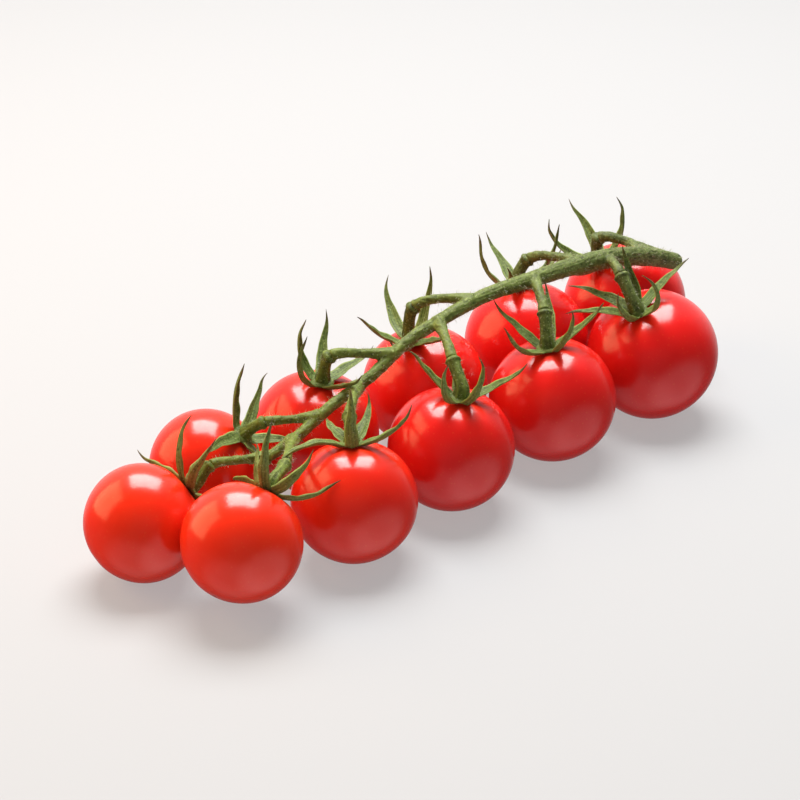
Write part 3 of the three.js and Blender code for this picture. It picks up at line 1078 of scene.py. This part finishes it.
def hairs_on(name, skins, density, length, thickness, seed):
    """Hairs over some finished pieces, as one piece. The density is in hairs to the square metre."""
    every = bmesh.new()
    for piece in skins:
        every.from_mesh(piece.data)
    mesh = bpy.data.meshes.new(name)
    every.to_mesh(mesh)
    every.free()
    grower = shown(name, mesh)
    growth = grower.modifiers.new("hairs", "NODES")
    growth.node_group = fine_hairs
    wanted = {
        "Hairs Per Square Metre": density,
        "Length": length,
        "Thickness": thickness,
        "Seed": seed,
        "Hair Material": pale_hair,
    }
    for item in fine_hairs.interface.items_tree:
        if item.name in wanted:
            growth[item.identifier] = wanted[item.name]
    evaluated = grower.evaluated_get(bpy.context.evaluated_depsgraph_get())
    grown = bpy.data.meshes.new_from_object(evaluated)
    grower.modifiers.clear()
    grower.data = grown
    return grower


hair_pieces = [
    hairs_on("stem_hairs", [stem_piece], 1.1e6, 0.0013, 0.00009, 1),
    hairs_on("stalk_hairs", pedicels, 1.1e6, 0.0009, 0.00008, 2),
    hairs_on("sepal_hairs", stars, 0.5e6, 0.0005, 0.00007, 3),
]
for piece in [stem_piece, *stars, *pedicels, *hair_pieces]:
    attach(piece, "root")

# --------------------------------------------------------------------------------------------------
# The floor, the light and the camera
#
# A white table under one large soft light, which hangs overhead and a little behind. A warm light stands
# to the left and a soft one in front. The room beyond is dim, so the fruit keeps its deep colour round
# the sides, but for a pale wall behind and the paler table low in front.
# --------------------------------------------------------------------------------------------------

FLOOR_REACH = 4.0
# the table is grey and glows, so that it looks white and the shadows on it stay soft
FLOOR_GREY = 0.19
FLOOR_GLOW = 0.36
VIEW_AZIMUTH = math.radians(-43)
VIEW_ELEVATION = math.radians(26)
VIEW_DISTANCE = 0.7
VIEW_LENS = 124.4
VIEW_AIM = Vector((-0.00135, 0.01138, 0.016))

UP = Vector((0, 0, 1))
TOWARDS_CAMERA = Vector((math.sin(VIEW_AZIMUTH), -math.cos(VIEW_AZIMUTH), 0))
TO_THE_RIGHT = Vector((math.cos(VIEW_AZIMUTH), math.sin(VIEW_AZIMUTH), 0))

# Each light's direction and distance from the truss, its width and height, its radiance and its colour.
WHITE = (1, 1, 1)
WARM = (1.0, 0.6, 0.3)
LIGHTS = {
    "overhead_light": (TOWARDS_CAMERA * -0.4 + UP * 0.91, 0.75, 0.58, 0.48, 16.5, WHITE),
    "left_light": (TO_THE_RIGHT * -1 + TOWARDS_CAMERA * -0.1 + UP * 0.55, 0.6, 0.5, 0.5, 4.4, WARM),
    "front_light": (TOWARDS_CAMERA + UP * 0.3, 0.9, 0.8, 0.8, 1.0, WHITE),
}

# The room is grey with pale patches. Each is a direction, how nearly something faces it where the patch
# starts and where it is full, and its strength: the wall behind, then the table low in front, in two parts.
ROOM_GREY = 0.12
ROOM_LIGHT = [
    (TOWARDS_CAMERA * -1 + UP * 0.45, 0.3, 0.85, 0.68),
    (TOWARDS_CAMERA * 0.55 + TO_THE_RIGHT * 0.6 - UP * 0.62, 0.62, 0.93, 1.0),
    (TOWARDS_CAMERA * 0.55 - TO_THE_RIGHT * 0.2 - UP * 0.75, 0.6, 0.94, 0.6),
]

low, high = -FLOOR_REACH, FLOOR_REACH
floor_corners = [(low, low, 0), (high, low, 0), (high, high, 0), (low, high, 0)]
table_top = mesh_piece("table_top", floor_corners, [(0, 1, 2, 3)])
white, table_tree, table_shader = new_material("white_table")
table_finish = {
    "Base Color": grey(FLOOR_GREY),
    "Roughness": 0.7,
    "Specular IOR Level": 0.2,
    "Emission Color": grey(1),
    "Emission Strength": FLOOR_GLOW,
}
feed(table_tree, table_shader, table_finish)
table_top.data.materials.append(white)
# the fruit mirrors the room's pale patches in place of the table itself
table_top.visible_glossy = False


def soft_light(name, direction, distance, width, height, radiance, colour):
    """A rectangle of light facing the truss."""
    data = bpy.data.lights.new(name, "AREA")
    data.shape = "RECTANGLE"
    data.size = width
    data.size_y = height
    data.color = colour
    data.energy = radiance * math.pi * width * height
    lamp = shown(name, data)
    back = direction.normalized()
    lamp.location = VIEW_AIM + back * distance
    level = TO_THE_RIGHT - back * TO_THE_RIGHT.dot(back)
    level.normalize()
    turn = Matrix((level, back.cross(level), back)).transposed()
    lamp.rotation_mode = "QUATERNION"
    lamp.rotation_quaternion = turn.to_quaternion()
    return lamp


lamps = {name: soft_light(name, *setting) for name, setting in LIGHTS.items()}
# the front light only softens the shadows: nothing mirrors it
lamps["front_light"].visible_glossy = False

room = bpy.data.worlds.new("room")
bpy.context.scene.world = room
room.use_nodes = True
sky = room.node_tree
compass = add(sky, "ShaderNodeTexCoord", {})["Generated"]
glow = ROOM_GREY
for direction, start, full, strength in ROOM_LIGHT:
    towards = {0: compass, 1: direction.normalized()}
    facing = add(sky, "ShaderNodeVectorMath", towards, operation="DOT_PRODUCT")["Value"]
    patch = {"Value": facing, "From Min": start, "From Max": full, "To Max": strength}
    patch = add(sky, "ShaderNodeMapRange", patch, interpolation_type="SMOOTHSTEP")["Result"]
    glow = maths(sky, "ADD", glow, patch)
feed(sky, sky.nodes["Background"], {"Color": glow})

camera_data = bpy.data.cameras.new("camera")
camera_data.lens = VIEW_LENS
camera_data.sensor_width = 36
camera_data.clip_start = 0.01
camera_data.clip_end = 20
camera = shown("camera", camera_data)
view = TOWARDS_CAMERA * math.cos(VIEW_ELEVATION) + UP * math.sin(VIEW_ELEVATION)
camera.location = VIEW_AIM + view * VIEW_DISTANCE
camera.rotation_mode = "QUATERNION"
camera.rotation_quaternion = view.to_track_quat("Z", "Y")
bpy.context.scene.camera = camera
bpy.context.scene.view_settings.view_transform = "Standard"
